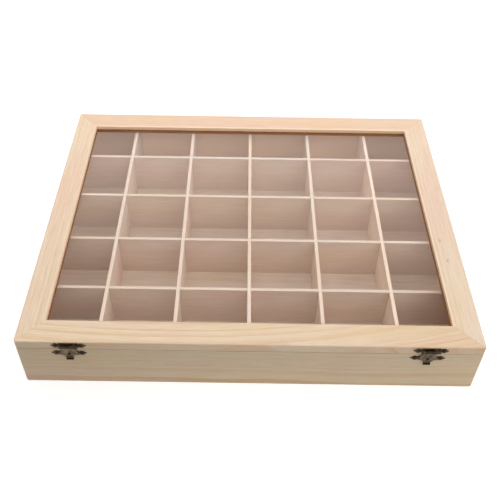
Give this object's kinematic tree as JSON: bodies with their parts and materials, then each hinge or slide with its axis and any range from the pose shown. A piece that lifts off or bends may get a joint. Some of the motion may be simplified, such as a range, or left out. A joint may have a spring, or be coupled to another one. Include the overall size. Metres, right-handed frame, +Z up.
{
  "type": "rock specimen box",
  "caption": "Shallow pine display box with a grid of square cells under a hinged, glazed lid with front latches.",
  "frame": {"origin": "middle of the box's underside", "axes": "+X to the right along the hinge line, +Y to the back where the hinges are, +Z up"},
  "size_m": [0.351, 0.3009, 0.0494],
  "materials": {
    "pine": "bare planed softwood",
    "divider": "bare thin board",
    "floor": "bare thin board",
    "glass": "clear, polished",
    "bronze": "antique, dark with worn edges",
    "steel": "plain"
  },
  "bodies": {
    "box": {"front_wall": "pine", "back_wall": "pine", "left_wall": "pine", "right_wall": "pine", "floor_board": "floor", "long_divider_1": "divider", "long_divider_2": "divider", "long_divider_3": "divider", "long_divider_4": "divider", "long_divider_5": "divider", "cross_divider_1": "divider", "cross_divider_2": "divider", "cross_divider_3": "divider", "cross_divider_4": "divider", "catch_plate_left": "bronze", "catch_nails_left": "bronze", "hinge_lower_leaf_left": "bronze", "hinge_pin_left": "bronze", "hinge_lower_nails_left": "bronze", "catch_plate_right": "bronze", "catch_nails_right": "bronze", "hinge_lower_leaf_right": "bronze", "hinge_pin_right": "bronze", "hinge_lower_nails_right": "bronze"},
    "lid": {"lid_front_rail": "pine", "lid_back_rail": "pine", "lid_left_rail": "pine", "lid_right_rail": "pine", "glass_pane": "glass", "mitre_v_nails": "steel", "latch_plate_left": "bronze", "latch_pin_left": "bronze", "latch_nails_left": "bronze", "hinge_upper_leaf_left": "bronze", "hinge_upper_nails_left": "bronze", "latch_plate_right": "bronze", "latch_pin_right": "bronze", "latch_nails_right": "bronze", "hinge_upper_leaf_right": "bronze", "hinge_upper_nails_right": "bronze"},
    "tongue_left": {"latch_tongue_left": "bronze"},
    "tongue_right": {"latch_tongue_right": "bronze"}
  },
  "joints": [
    {"name": "lid_hinge", "type": "hinge", "parent": "box", "child": "lid", "pos_m": [0, 0.14895, 0.0412], "axis": [-1, 0, 0], "range_deg": [0, 180]},
    {"name": "latch_left", "type": "hinge", "parent": "lid", "child": "tongue_left", "pos_m": [-0.1356, -0.14935, 0.0459], "axis": [-1, 0, 0], "range_deg": [0, 217]},
    {"name": "latch_right", "type": "hinge", "parent": "lid", "child": "tongue_right", "pos_m": [0.1334, -0.14935, 0.0459], "axis": [-1, 0, 0], "range_deg": [0, 217]}
  ]
}
